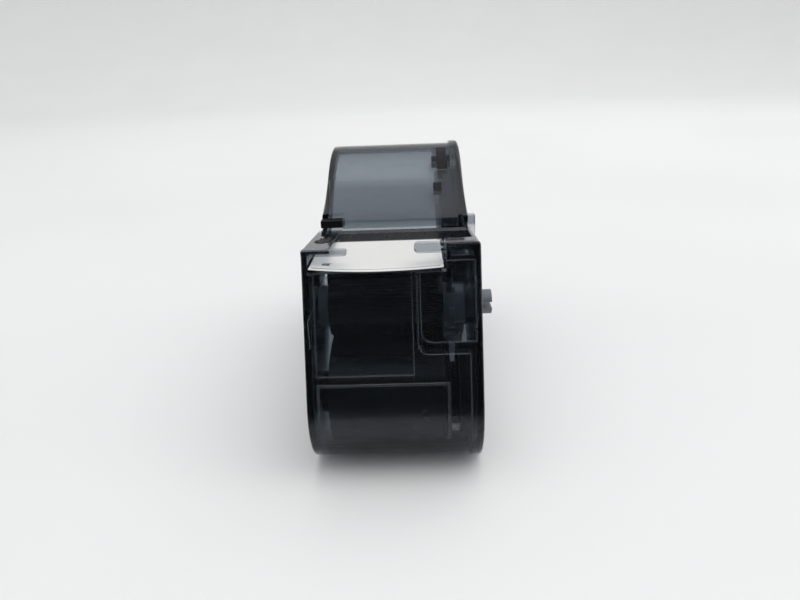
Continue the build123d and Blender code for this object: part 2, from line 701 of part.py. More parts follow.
def id_sticker():
    """Blank paper sticker on the base's side plate."""
    back = LEFT + STICKER_DEEP
    return block((back - STICKER_T, back), STICKER_Y, STICKER_Z)


# --- Nodes ------------------------------------------------------------------------------
NODES = {
    "base_housing": base_housing,
    "lid_cover": lid_cover,
    "label_core": label_core,
    "label_roll": label_roll,
    "label_strip": label_strip,
    "ribbon_supply_core": supply_core,
    "ribbon_supply_roll": supply_roll,
    "ribbon_takeup_core": takeup_core,
    "ribbon_takeup_roll": takeup_roll,
    "ribbon_strip": ribbon_strip,
    "exit_roller": lambda: roller(EXIT_ROLLER, ROLLER_R),
    "dip_roller": lambda: roller(DIP_ROLLER, ROLLER_R),
    "ribbon_roller_low": lambda: roller(RIBBON_LOW, RIBBON_ROLLER_R),
    "ribbon_roller_high": lambda: roller(RIBBON_HIGH, RIBBON_ROLLER_R),
    "roller_pins": guide_pins,
    "peel_bar": peel_bar,
    "waist_cross_bar": cross_bar,
    "supply_drag_spring": drag_spring,
    "supply_spring_shroud": spring_shroud,
    "core_felt_washer": felt_washer,
    "roll_clip": roll_clip,
    "strip_edge_pad": edge_pad,
    "rear_block": rear_block,
    "deck_latch": deck_latch,
    "memory_cell": memory_cell,
    "cell_contacts": cell_contacts,
    "id_sticker": id_sticker,
}


def main():
    os.makedirs("parts", exist_ok=True)
    for name, make in NODES.items():
        export_step(SHIFT * make(), f"parts/{name}.step")


main()
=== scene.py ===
"""Looks of the smoke-clear label cassette: rolls, strips, materials, floor, light, camera."""

from math import asin, atan2, cos, degrees, hypot, log, pi, radians, sin
import random

import bpy
from mathutils import Matrix, Vector


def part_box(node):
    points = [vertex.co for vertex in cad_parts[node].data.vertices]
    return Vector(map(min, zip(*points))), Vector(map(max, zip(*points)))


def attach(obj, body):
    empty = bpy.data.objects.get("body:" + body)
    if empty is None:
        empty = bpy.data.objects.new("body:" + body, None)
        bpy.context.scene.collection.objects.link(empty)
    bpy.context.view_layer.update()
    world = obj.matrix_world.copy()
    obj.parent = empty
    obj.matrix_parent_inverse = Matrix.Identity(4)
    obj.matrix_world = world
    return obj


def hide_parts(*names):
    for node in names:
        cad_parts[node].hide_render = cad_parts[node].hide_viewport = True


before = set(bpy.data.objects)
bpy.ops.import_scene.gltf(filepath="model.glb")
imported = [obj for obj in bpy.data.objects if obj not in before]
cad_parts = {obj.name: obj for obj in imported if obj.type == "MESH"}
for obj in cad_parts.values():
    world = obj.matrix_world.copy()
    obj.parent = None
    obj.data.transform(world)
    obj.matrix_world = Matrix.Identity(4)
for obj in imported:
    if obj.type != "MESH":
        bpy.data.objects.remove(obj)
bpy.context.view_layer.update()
MM = 0.001


# --- Node helpers -----------------------------------------------------------------------
NOISE_MIDDLE = (0.3, 0.7)  # most of a noise's values lie in this span


class Graph:
    """One material's node tree, built from short calls."""

    def __init__(self, name):
        self.material = bpy.data.materials.new(name)
        self.material.use_nodes = True
        self.tree = self.material.node_tree
        self.tree.nodes.clear()
        self.out = self.tree.nodes.new("ShaderNodeOutputMaterial")

    def add(self, kind, settings=None, **inputs):
        """A node; inputs are numbers, colours or sockets.

        An input's name has _ for a space, or is i and the socket's number.
        """
        node = self.tree.nodes.new("ShaderNode" + kind)
        for key, value in (settings or {}).items():
            setattr(node, key, value)
        for key, value in inputs.items():
            numbered = key[0] == "i" and key[1:].isdigit()
            socket = node.inputs[int(key[1:]) if numbered else key.replace("_", " ")]
            if isinstance(value, bpy.types.NodeSocket):
                self.tree.links.new(value, socket)
            else:
                socket.default_value = value
        return node

    def place(self):
        """Object coordinates, which are metres in the shared frame."""
        return self.add("TexCoord").outputs["Object"]

    def along(self, axis):
        """One of the object coordinates."""
        return self.add("SeparateXYZ", Vector=self.place()).outputs[axis]

    def stretched(self, x, y, z):
        """Object coordinates scaled along each axis."""
        return self.add("Mapping", Vector=self.place(), Scale=(x, y, z)).outputs["Vector"]

    def noise(self, scale, detail=4.0, rough=0.55, vector=None):
        """Noise with that many cells to the metre."""
        node = self.add(
            "TexNoise",
            Scale=scale,
            Detail=detail,
            Roughness=rough,
            Vector=vector or self.place(),
        )
        return node.outputs["Fac"]

    def maths(self, operation, *values):
        """One Math node's result."""
        inputs = {f"i{k}": value for k, value in enumerate(values)}
        return self.add("Math", {"operation": operation}, **inputs).outputs[0]

    def ramp(self, value, span, onto):
        """A value mapped from one (low, high) pair onto another, and held at its ends."""
        node = self.add(
            "MapRange",
            Value=value,
            From_Min=span[0],
            From_Max=span[1],
            To_Min=onto[0],
            To_Max=onto[1],
        )
        return node.outputs["Result"]

    def spread(self, noise, low, high):
        """A noise mapped onto low to high."""
        return self.ramp(noise, NOISE_MIDDLE, (low, high))

    def colours(self, noise, first, second):
        """A noise turned into a change from one colour to another."""
        node = self.add("ValToRGB", Fac=noise)
        for stop, position, colour in zip(node.color_ramp.elements, NOISE_MIDDLE, (first, second)):
            stop.position = position
            stop.color = (*colour, 1)
        return node.outputs["Color"]

    def bump(self, height, distance, strength=1.0, **more):
        """The normal of a surface with that height, on top of a Normal if one is given."""
        node = self.add("Bump", Height=height, Distance=distance, Strength=strength, **more)
        return node.outputs["Normal"]

    def mix(self, share, first, second):
        """A shader that is the first one, and by that share the second."""
        node = self.add("MixShader", Fac=share)
        self.tree.links.new(first, node.inputs[1])
        self.tree.links.new(second, node.inputs[2])
        return node.outputs[0]

    def surface(self, shader):
        """Makes that shader the material's surface, and returns the material."""
        self.tree.links.new(shader, self.out.inputs["Surface"])
        return self.material

    def plastic(self, colour, roughness, normal, **more):
        """The material with one Principled shader as its surface."""
        shader = self.add(
            "BsdfPrincipled", Base_Color=colour, Roughness=roughness, Normal=normal, **more
        )
        return self.surface(shader.outputs["BSDF"])


# --- Materials --------------------------------------------------------------------------
SMOKE_FACE = (0.85, 0.865, 0.878)  # share of each colour that passes a face
SMOKE_KEPT = (0.635, 0.662, 0.69)  # and, on top of that, a wall of this thickness
SMOKE_WALL = 1.5 * MM
SMOKE_DENSITY = 500.0
SMOKE_ROUGH = (0.05, 0.14)
SMOKE_RIPPLE = 0.06 * MM
SMOKE_GLOSS = (0.035, 0.9)  # share reflected by a face seen square on, and seen edge on
SMOKE_GLOSS_BEND = 5.0  # how late that share rises
SMOKE_TRAP = (0.76, 0.82)  # slant from which light inside a wall begins to be, and is, turned back
SMOKE_DUST = (0.008, 0.03)  # share of the grey scatter over the faces
SMOKE_DUST_SPAN = (0.5, 0.8)
SMOKE_EDGE = 0.35 * MM  # rounding that catches the light along moulded edges; the same rounding places the painted edge highlight
SMOKE_PAINTED_EDGE_HIGHLIGHT = 0.15  # share of the grey scatter laid on as a painted highlight where that rounding turns most
SMOKE_PAINTED_EDGE_HIGHLIGHT_SPAN = (0.86, 0.99)  # cosine of that turn for the full painted highlight, and for none
# grey of the dust, and of the painted edge highlight
SMOKE_DUST_AND_HIGHLIGHT_GREY = (0.36, 0.43, 0.5)


def absorption(kept, wall, density):
    """Volume Absorption's colour for a wall that lets that share through."""
    return tuple(1 + log(share) / wall / density for share in kept) + (1,)


def smoke_plastic():
    """Clear smoke-tinted moulding: polished faces, faint ripples, a little dust, and a painted
    highlight along moulded edges.
    """
    g = Graph("smoke_plastic")
    face = g.add("NewGeometry").outputs
    edge = g.add("Bevel", {"samples": 6}, Radius=SMOKE_EDGE).outputs["Normal"]
    ripple = g.noise(scale=90.0, detail=2.0, rough=0.4)
    normal = g.bump(ripple, SMOKE_RIPPLE, 0.35, Normal=edge)
    smudge = g.noise(scale=260.0, detail=5.0, rough=0.6)
    rough = g.ramp(smudge, (0.35, 0.75), SMOKE_ROUGH)
    gloss = g.add("BsdfGlossy", Color=(1, 1, 1, 1), Roughness=rough, Normal=normal)
    clear = g.add("BsdfTransparent", Color=(*SMOKE_FACE, 1))

    facing = g.add("LayerWeight", Blend=0.5, Normal=normal).outputs["Facing"]
    outer = g.ramp(g.maths("POWER", facing, SMOKE_GLOSS_BEND), (0.0, 1.0), SMOKE_GLOSS)
    slanted = g.ramp(facing, SMOKE_TRAP, (0.0, 1.0))
    trapped = g.maths("MULTIPLY", face["Backfacing"], slanted)
    share = g.maths("MAXIMUM", outer, trapped)
    wall = g.mix(share, clear.outputs[0], gloss.outputs[0])

    dust = g.ramp(g.noise(scale=1500.0, detail=6.0, rough=0.7), SMOKE_DUST_SPAN, SMOKE_DUST)
    # Painted highlight: the grey scatter is laid along moulded edges where the rounded normal
    # turns from the true one.
    flat = g.add("VectorMath", {"operation": "DOT_PRODUCT"}, i0=edge, i1=face["Normal"])
    painted_edge_highlight = g.ramp(flat.outputs["Value"], SMOKE_PAINTED_EDGE_HIGHLIGHT_SPAN, (SMOKE_PAINTED_EDGE_HIGHLIGHT, 0.0))
    grey = g.add("BsdfDiffuse", Color=(*SMOKE_DUST_AND_HIGHLIGHT_GREY, 1), Roughness=0.5)
    dust_and_painted_highlight = g.mix(g.maths("MAXIMUM", dust, painted_edge_highlight), wall, grey.outputs[0])

    tint = absorption(SMOKE_KEPT, SMOKE_WALL, SMOKE_DENSITY)
    volume = g.add("VolumeAbsorption", Color=tint, Density=SMOKE_DENSITY)
    g.tree.links.new(volume.outputs[0], g.out.inputs["Volume"])
    return g.surface(dust_and_painted_highlight)


def moulded(name, dark, light, roughness, depth=0.02 * MM, **more):
    """Opaque moulded plastic with a fine spark-eroded grain and slight colour change."""
    g = Graph(name)
    colour = g.colours(g.noise(scale=300.0, detail=3.0), dark, light)
    grain = g.noise(scale=4000.0, rough=0.6)
    rough = g.spread(g.noise(scale=900.0), roughness - 0.06, roughness + 0.08)
    return g.plastic(colour, rough, g.bump(grain, depth, 0.5), **more)


def label_film():
    """Satin white label film with a faint fibre and cloud."""
    g = Graph("label_film")
    cloud = g.noise(scale=120.0)
    fibre = g.noise(scale=900.0, detail=5.0, rough=0.7, vector=g.stretched(0.3, 1.0, 1.0))
    colour = g.colours(cloud, (0.68, 0.68, 0.67), (0.73, 0.725, 0.71))
    return g.plastic(colour, g.spread(fibre, 0.5, 0.62), g.bump(fibre, 0.015 * MM, 0.4))


def liner_film():
    """Glassine liner, a little greyer and shinier than the labels."""
    g = Graph("liner_film")
    cloud = g.noise(scale=200.0, detail=5.0)
    colour = g.colours(cloud, (0.76, 0.77, 0.76), (0.83, 0.83, 0.81))
    fibre = g.noise(scale=1400.0)
    return g.plastic(colour, g.spread(cloud, 0.25, 0.38), g.bump(fibre, 0.01 * MM, 0.4))


def ribbon_film():
    """Glossy ink film with faint streaks across its run."""
    g = Graph("ribbon_film")
    streak = g.noise(scale=700.0, detail=3.0, rough=0.5, vector=g.stretched(1.0, 0.1, 0.1))
    colour = g.colours(streak, (0.008, 0.008, 0.01), (0.02, 0.02, 0.024))
    return g.plastic(colour, g.spread(streak, 0.08, 0.2), g.bump(streak, 0.02 * MM, 0.5))


def wound(name, centre, pitch, light, dark, roughness):
    """Wound film: rings round the (y, z) centre on the ends, fine lines across the outside."""
    g = Graph(name)
    y = g.maths("SUBTRACT", g.along("Y"), centre[0])
    z = g.maths("SUBTRACT", g.along("Z"), centre[1])
    flat = g.add("CombineXYZ", X=y, Y=z)
    reach = g.add("VectorMath", {"operation": "LENGTH"}, i0=flat.outputs[0]).outputs["Value"]
    wave = g.maths("SINE", g.maths("MULTIPLY", reach, 2 * pi / pitch))
    drift = g.noise(scale=350.0, detail=3.0)
    rings = g.maths("MULTIPLY_ADD", wave, 0.28, drift)
    colour = g.colours(rings, dark, light)
    rough = g.spread(drift, roughness - 0.06, roughness + 0.06)
    return g.plastic(colour, rough, g.bump(rings, 0.02 * MM, 0.5))


def steel():
    """Drawn steel with fine lines along X."""
    g = Graph("pin_steel")
    lines = g.noise(scale=2600.0, detail=3.0, rough=0.6, vector=g.stretched(0.04, 1.0, 1.0))
    colour = g.colours(lines, (0.5, 0.5, 0.51), (0.68, 0.68, 0.67))
    normal = g.bump(lines, 0.006 * MM, 0.5)
    return g.plastic(colour, g.spread(lines, 0.2, 0.35), normal, Metallic=1.0)


def felt():
    """Pressed wool felt."""
    g = Graph("felt")
    hair = g.noise(scale=1800.0, detail=8.0, rough=0.75)
    colour = g.colours(hair, (0.36, 0.35, 0.32), (0.62, 0.6, 0.56))
    rough = g.ramp(hair, (0.2, 0.8), (0.85, 1.0))
    return g.plastic(colour, rough, g.bump(hair, 0.15 * MM, 0.8))


def board():
    """Green solder mask over copper."""
    g = Graph("circuit_board")
    weave = g.noise(scale=1600.0, detail=2.0)
    colour = g.colours(weave, (0.01, 0.07, 0.04), (0.02, 0.13, 0.07))
    return g.plastic(colour, g.spread(weave, 0.2, 0.32), g.bump(weave, 0.01 * MM, 0.4))


def gold():
    """Thin plated contacts."""
    g = Graph("gold_plate")
    wear = g.noise(scale=1500.0, detail=5.0)
    colour = g.colours(wear, (0.72, 0.5, 0.18), (0.86, 0.66, 0.3))
    normal = g.bump(wear, 0.004 * MM)
    return g.plastic(colour, g.spread(wear, 0.16, 0.34), normal, Metallic=1.0)


def paper():
    """Blank coated paper."""
    g = Graph("sticker_paper")
    fibre = g.noise(scale=1200.0, detail=7.0, rough=0.7)
    colour = g.colours(fibre, (0.76, 0.76, 0.74), (0.84, 0.84, 0.82))
    rough = g.ramp(fibre, (0.2, 0.8), (0.5, 0.65))
    return g.plastic(colour, rough, g.bump(fibre, 0.02 * MM, 0.5))


# --- Places taken from the frame --------------------------------------------------------
def axis_of(node):
    """(centre (y, z), radius) of a round node that lies along X."""
    low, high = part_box(node)
    return ((low.y + high.y) / 2, (low.z + high.z) / 2), (high.y - low.y) / 2


def span_of(node):
    """A node's lowest and highest X."""
    low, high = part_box(node)
    return low.x, high.x


def bearing(a, b):
    """Direction from one (y, z) point to another, in degrees from +Y."""
    return degrees(atan2(b[1] - a[1], b[0] - a[0]))


def on_circle(centre, radius, angle):
    """The point of a circle at that angle, in degrees."""
    return (centre[0] + radius * cos(radians(angle)), centre[1] + radius * sin(radians(angle)))


# --- Mesh pieces ------------------------------------------------------------------------
RUN_STEP = 0.8 * MM  # most distance between a strip's points where it runs straight
ARC_STEP = 4.0  # degrees between them where it bends
STRIP_COLUMNS = 28  # faces across a strip
STRIP_CREASE = 50  # degrees; edges sharper than this stay sharp
ROLL_SIDES = 128
ROLL_CREASE = 30
TURN_EDGE = 0.06  # share of a turn's thickness that its edge slants over


def route(stops):
    """Points of a strip that runs straight between circles and bends round them.

    A stop is (centre, radius, side): side 1 turns anticlockwise, -1 clockwise.
    """
    runs = []
    for (c0, r0, s0), (c1, r1, s1) in zip(stops, stops[1:]):
        span = hypot(c1[0] - c0[0], c1[1] - c0[1])
        heading = bearing(c0, c1) + degrees(asin((s0 * r0 - s1 * r1) / span))
        start = on_circle(c0, r0, heading - 90 * s0)
        end = on_circle(c1, r1, heading - 90 * s1)
        runs.append((start, end, heading))
    points = []
    for i, (start, end, heading) in enumerate(runs):
        count = max(2, int(hypot(end[0] - start[0], end[1] - start[1]) / RUN_STEP))
        for k in range(count + 1):
            t = k / count
            points.append((start[0] + (end[0] - start[0]) * t, start[1] + (end[1] - start[1]) * t))
        if i + 1 < len(runs):
            centre, radius, side = stops[i + 1]
            turn = (runs[i + 1][2] - heading + 180) % 360 - 180
            arcs = max(2, int(abs(turn) / ARC_STEP))
            for k in range(1, arcs):
                points.append(on_circle(centre, radius, heading - 90 * side + turn * k / arcs))
    return points


def mesh_object(name, points, faces, materials, smooth=True):
    """An object with that mesh, linked into the scene."""
    mesh = bpy.data.meshes.new(name)
    mesh.from_pydata(points, [], faces)
    mesh.validate()
    mesh.update()
    for material in materials:
        mesh.materials.append(material)
    for face in mesh.polygons:
        face.use_smooth = smooth
    piece = bpy.data.objects.new(name, mesh)
    bpy.context.scene.collection.objects.link(piece)
    return piece


def strip_points(line, x0, x1, thickness, lift):
    """A strip's points, row by row, on one side of its line and then on the other."""
    length = [0.0]
    for (y0, z0), (y1, z1) in zip(line, line[1:]):
        length.append(length[-1] + hypot(y1 - y0, z1 - z0))
    points = []
    for side in (0.5, -0.5):
        for i, (y, z) in enumerate(line):
            before = line[max(i - 1, 0)]
            after = line[min(i + 1, len(line) - 1)]
            run = hypot(after[0] - before[0], after[1] - before[1])
            normal = ((after[1] - before[1]) / run, -(after[0] - before[0]) / run)
            for k in range(STRIP_COLUMNS + 1):
                u = k / STRIP_COLUMNS
                raised = lift(u, length[-1] - length[i]) if lift else 0.0
                points.append((
                    x0 + (x1 - x0) * u,
                    y + normal[0] * thickness * side,
                    z + normal[1] * thickness * side + raised,
                ))
    return points


def hole_walls(gaps, wide, back):
    """Faces down the sides of a strip's holes, which are open (row, column) places."""
    faces = []
    for i, k in sorted(gaps):
        a = i * wide + k
        ring = (a, a + 1, a + wide + 1, a + wide)
        beside = ((i - 1, k), (i, k + 1), (i + 1, k), (i, k - 1))
        for side in range(4):
            if beside[side] not in gaps:
                b, c = ring[side], ring[(side + 1) % 4]
                faces.append((b, c, back + c, back + b))
    return faces


def strip_faces(rows, gaps):
    """A closed strip's faces, over that many rows of points."""
    wide = STRIP_COLUMNS + 1
    back = rows * wide
    faces = hole_walls(gaps, wide, back)
    for i in range(rows - 1):
        for k in range(STRIP_COLUMNS):
            if (i, k) in gaps:
                continue
            a = i * wide + k
            faces.append((a, a + 1, a + wide + 1, a + wide))
            faces.append((back + a, back + a + wide, back + a + wide + 1, back + a + 1))
        for k, flip in ((0, False), (STRIP_COLUMNS, True)):
            a = i * wide + k
            edge = (a, a + wide, back + a + wide, back + a)
            faces.append(edge[::-1] if flip else edge)
    for i, flip in ((0, True), (rows - 1, False)):
        for k in range(STRIP_COLUMNS):
            a = i * wide + k
            edge = (a, a + 1, back + a + 1, back + a)
            faces.append(edge if flip else edge[::-1])
    return faces


def sheet(name, line, x0, x1, thickness, material, lift=None, punched=None):
    """A thin strip swept along a (y, z) line.

    lift(u, s) raises it, u across it and s from its last point; punched(x, y) is true where
    it has a hole.
    """
    gaps = set()
    for i in range(len(line) - 1):
        y = (line[i][0] + line[i + 1][0]) / 2
        for k in range(STRIP_COLUMNS):
            if punched and punched(x0 + (x1 - x0) * (k + 0.5) / STRIP_COLUMNS, y):
                gaps.add((i, k))
    points = strip_points(line, x0, x1, thickness, lift)
    piece = mesh_object(name, points, strip_faces(len(line), gaps), [material])
    piece.modifiers.new("edges", "EDGE_SPLIT").split_angle = radians(STRIP_CREASE)
    return piece


def wound_roll(name, centre, inner, outer, x0, x1, turns, slip, material, seed):
    """A wound roll as one lathed mesh whose ends show each turn a little out of line."""
    chance = random.Random(seed)
    profile = []
    pitch = (outer - inner) / turns
    edge = TURN_EDGE * pitch
    for end, x in ((1, x1), (-1, x0)):
        radii = range(turns + 1) if end == 1 else range(turns, -1, -1)
        for k in radii:
            inset = chance.random() * slip
            radius = inner + k * pitch
            if 0 < k < turns:
                profile.append((x - end * (inset + slip), radius - edge * end))
                profile.append((x - end * inset, radius + edge * end))
            else:
                profile.append((x - end * slip, radius))
    points = []
    for x, radius in profile:
        for a in range(ROLL_SIDES):
            y, z = on_circle(centre, radius, 360 * a / ROLL_SIDES)
            points.append((x, y, z))
    faces = []
    for i in range(len(profile)):
        low = i * ROLL_SIDES
        high = (i + 1) % len(profile) * ROLL_SIDES
        for a in range(ROLL_SIDES):
            b = (a + 1) % ROLL_SIDES
            faces.append((low + a, high + a, high + b, low + b))
    piece = mesh_object(name, points, faces, [material])
    piece.modifiers.new("edges", "EDGE_SPLIT").split_angle = radians(ROLL_CREASE)
    return piece


# --- Carried-over CAD nodes -------------------------------------------------------------
BLACK = ((0.005, 0.005, 0.006), (0.01, 0.01, 0.011))  # darkest and lightest of each plastic
GREY = ((0.017, 0.019, 0.023), (0.027, 0.03, 0.035))
DRIVE = ((0.12, 0.14, 0.16), (0.16, 0.18, 0.2))
CORE = ((0.5, 0.51, 0.53), (0.6, 0.61, 0.62))
ROLLER = ((0.1, 0.11, 0.12), (0.15, 0.16, 0.17))

NODE_LOOKS = {
    "base_housing": "smoke",
    "lid_cover": "smoke",
    "label_core": "core",
    "ribbon_supply_core": "black",
    "ribbon_takeup_core": "drive",
    "exit_roller": "roller",
    "dip_roller": "roller",
    "ribbon_roller_low": "roller",
    "ribbon_roller_high": "roller",
    "roller_pins": "steel",
    "peel_bar": "steel",
    "waist_cross_bar": "grey",
    "supply_drag_spring": "steel",
    "supply_spring_shroud": "black",
    "core_felt_washer": "felt",
    "roll_clip": "black",
    "strip_edge_pad": "black",
    "rear_block": "black",
    "deck_latch": "black",
    "memory_cell": "board",
    "cell_contacts": "gold",
    "id_sticker": "paper",
}


def finish_nodes():
    """Gives every CAD node that stays its material."""
    looks = {
        "smoke": smoke_plastic(),
        "black": moulded("black_plastic", *BLACK, 0.45, Specular_IOR_Level=0.16),
        "drive": moulded("drive_plastic", *DRIVE, 0.34),
        "core": moulded("core_plastic", *CORE, 0.4),
        "roller": moulded("roller_plastic", *ROLLER, 0.34),
        "grey": moulded("grey_plastic", *GREY, 0.3, depth=0.004 * MM),
        "steel": steel(),
        "felt": felt(),
        "board": board(),
        "gold": gold(),
        "paper": paper(),
    }
    for name, look in NODE_LOOKS.items():
        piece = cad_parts[name]
        piece.data.materials.clear()
        piece.data.materials.append(looks[look])


# --- Labels and ribbon ------------------------------------------------------------------
STRIP_GAP = 0.15 * MM  # between a strip and what it runs over
LABEL_T = 0.3 * MM  # label and liner together
LINER_T = 0.12 * MM
FACE_T = 0.1 * MM
FACE_UP = 0.11 * MM  # the label lies this far over the liner
FACE_INSET = 0.5 * MM  # liner left bare along each side
FACE_REAR = 1.2 * MM  # the front label starts this far behind the exit roller's axis
END_BACK = 0.02 * MM  # the free end stops this far short of the CAD strip's
END_DROP = 0.9 * MM  # and lies this far below the exit roller's top
CURL_REACH = 14.0 * MM
CURL_LEFT = 0.75 * MM
CURL_RIGHT = 0.5 * MM
CURL_FADE = 1.6
HOLE_X = (2.0 * MM, 4.0 * MM)  # registration hole, from the strip's left edge
HOLE_Y = (2.2 * MM, 4.0 * MM)  # and from its free end
STOCK_TURNS = 54
STOCK_SLIP = 0.09 * MM  # how far a turn may stand out of line
STOCK_PITCH = 0.42 * MM
STOCK_LIGHT = (0.9, 0.9, 0.9)
STOCK_DARK = (0.76, 0.76, 0.76)

RIBBON_T = 0.12 * MM
FILM_T = 0.08 * MM
SPOOL_TUBE_R = 4.28 * MM
RIBBON_SLIP = 0.05 * MM
RIBBON_PITCH = 0.5 * MM
RIBBON_LIGHT = (0.014, 0.016, 0.02)
RIBBON_DARK = (0.008, 0.009, 0.011)


def make_label_roll():
    """The wound roll of labels."""
    roll_at, roll_r = axis_of("label_roll")
    core_r = axis_of("label_core")[1]
    x0, x1 = span_of("label_roll")
    stock = wound("label_stock", roll_at, STOCK_PITCH, STOCK_LIGHT, STOCK_DARK, 0.42)
    roll = wound_roll(
        "label_roll_wound", roll_at, core_r, roll_r, x0, x1, STOCK_TURNS, STOCK_SLIP, stock, 11
    )
    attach(roll, "label_spool")
    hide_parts("label_roll")


def make_label_strip():
    """The liner on its way out, and the labels on it."""
    away = STRIP_GAP + LABEL_T / 2
    roll_at, roll_r = axis_of("label_roll")
    dip_at, dip_r = axis_of("dip_roller")
    exit_at, exit_r = axis_of("exit_roller")
    x0, x1 = span_of("label_roll")
    front_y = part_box("label_strip")[0].y + END_BACK
    end_z = exit_at[1] + exit_r - END_DROP
    line = route([
        (roll_at, roll_r + away, 1),
        (dip_at, dip_r + away, -1),
        (exit_at, exit_r + away, 1),
        ((front_y, end_z), 0.0, 1),
    ])

    def curl(u, s):
        """The free end's edges lift, more at the left, fading out towards the exit roller."""
        fade = max(0.0, 1 - s / CURL_REACH) ** CURL_FADE
        return (CURL_LEFT if u < 0.5 else CURL_RIGHT) * (2 * u - 1) ** 2 * fade

    def punched(x, y):
        """The registration hole near the strip's left edge."""
        return HOLE_X[0] < x - x0 < HOLE_X[1] and HOLE_Y[0] < y - front_y < HOLE_Y[1]

    liner = sheet("label_liner", line, x0, x1, LINER_T, liner_film(), curl, punched)
    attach(liner, "shell")
    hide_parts("label_strip")
    raised = [(y, z + FACE_UP) for y, z in line if y < exit_at[0] + FACE_REAR]
    left, right = x0 + FACE_INSET, x1 - FACE_INSET
    labels = sheet("label_face", raised[:-1], left, right, FACE_T, label_film(), curl, punched)
    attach(labels, "shell")


def make_ribbon_rolls():
    """Both wound ribbon rolls."""
    supply_at = axis_of("ribbon_supply_roll")[0]
    film = wound("ribbon_wound", supply_at, RIBBON_PITCH, RIBBON_LIGHT, RIBBON_DARK, 0.22)
    rolls = (
        ("ribbon_supply_roll", "ribbon_supply", 26, 21),
        ("ribbon_takeup_roll", "ribbon_takeup", 12, 22),
    )
    for node, body, turns, seed in rolls:
        centre, radius = axis_of(node)
        x0, x1 = span_of(node)
        roll = wound_roll(
            node + "_wound", centre, SPOOL_TUBE_R, radius, x0, x1, turns, RIBBON_SLIP, film, seed
        )
        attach(roll, body)
        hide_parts(node)


def make_ribbon_film():
    """The ribbon between its two rolls."""
    away = STRIP_GAP + RIBBON_T / 2
    stops = []
    for node, side in (
        ("ribbon_supply_roll", -1),
        ("ribbon_roller_low", 1),
        ("ribbon_roller_high", 1),
        ("peel_bar", 1),
        ("ribbon_takeup_roll", 1),
    ):
        centre, radius = axis_of(node)
        stops.append((centre, radius + (RIBBON_T / 2 if node == "peel_bar" else away), side))
    x0, x1 = span_of("ribbon_strip")
    piece = sheet("ribbon_film", route(stops), x0, x1, FILM_T, ribbon_film())
    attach(piece, "shell")
    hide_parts("ribbon_strip")


# --- Studio, in metres ------------------------------------------------------------------
FLOOR_R = 1.5  # the floor is flat this far out
SWEEP_R = 1.8  # and then sweeps up with this radius
FLOOR_RINGS = 4
SWEEP_RINGS = 24
ROOM_H = 2.0
ROOM_SIDES = 96

ROOM_COLOUR = (0.985, 0.99, 1.0, 1)
ROOM_UP = (0.3, 0.95)  # height of a direction, as a share, where the room is dim and is bright
ROOM_LIGHT = (0.03, 1.15)

# The sheet that paints dark reflections: seen only in gloss, it casts no shadow.
FLAG_Y = -0.9
FLAG_TOE_Y = -0.055  # its foot lies just over the floor, from under the camera to here
FLAG_FADE_Y = (-0.095, -0.056)  # and fades out over this stretch
FLAG_LIFT = 0.0005
FLAG_H = 1.2
FLAG_HALF = 1.6

CASSETTE_AT = (0, 0, 0.03)
LAMPS = (  # name, place, what it points at, size, watts
    ("overhead", (0.35, 0.1, 1.3), CASSETTE_AT, 1.6, 9.0),
    ("right_fill", (1.5, -0.2, 0.9), CASSETTE_AT, 0.9, 2.2),
    ("back_wash", (0, 1.1, 1.5), (0, 2.6, 0.2), 1.2, 6.0),
)


def make_floor():
    """A pale floor that sweeps up all round."""
    g = Graph("studio_floor")
    cloud = g.noise(scale=6.0, detail=3.0)
    colour = g.colours(cloud, (0.79, 0.79, 0.79), (0.81, 0.81, 0.81))
    normal = g.bump(g.noise(scale=500.0), 0.02 * MM, 0.2)
    look = g.plastic(colour, g.spread(cloud, 0.5, 0.6), normal)
    profile = [(FLOOR_R * k / FLOOR_RINGS, 0.0) for k in range(1, FLOOR_RINGS + 1)]
    for k in range(1, SWEEP_RINGS + 1):
        turn = radians(90 * k / SWEEP_RINGS)
        profile.append((FLOOR_R + SWEEP_R * sin(turn), SWEEP_R * (1 - cos(turn))))
    profile.append((FLOOR_R + SWEEP_R, ROOM_H))
    points = [(0.0, 0.0, 0.0)]
    for reach, z in profile:
        for k in range(ROOM_SIDES):
            x, y = on_circle((0.0, 0.0), reach, 360 * k / ROOM_SIDES)
            points.append((x, y, z))
    faces = [(0, 1 + k, 1 + (k + 1) % ROOM_SIDES) for k in range(ROOM_SIDES)]
    for ring in range(len(profile) - 1):
        low = 1 + ring * ROOM_SIDES
        high = low + ROOM_SIDES
        for k in range(ROOM_SIDES):
            n = (k + 1) % ROOM_SIDES
            faces.append((low + k, high + k, high + n, low + n))
    floor = mesh_object("studio_floor", points, faces, [look])


def make_room():
    """A room that is dim at its walls and bright overhead."""
    world = bpy.data.worlds.new("room")
    world.use_nodes = True
    bpy.context.scene.world = world
    tree = world.node_tree
    tree.nodes.clear()
    coord = tree.nodes.new("ShaderNodeTexCoord")
    split = tree.nodes.new("ShaderNodeSeparateXYZ")
    ramp = tree.nodes.new("ShaderNodeMapRange")
    ramp.inputs["From Min"].default_value, ramp.inputs["From Max"].default_value = ROOM_UP
    ramp.inputs["To Min"].default_value, ramp.inputs["To Max"].default_value = ROOM_LIGHT
    back = tree.nodes.new("ShaderNodeBackground")
    back.inputs["Color"].default_value = ROOM_COLOUR
    out = tree.nodes.new("ShaderNodeOutputWorld")
    tree.links.new(coord.outputs["Generated"], split.inputs[0])
    tree.links.new(split.outputs["Z"], ramp.inputs["Value"])
    tree.links.new(ramp.outputs[0], back.inputs["Strength"])
    tree.links.new(back.outputs[0], out.inputs[0])


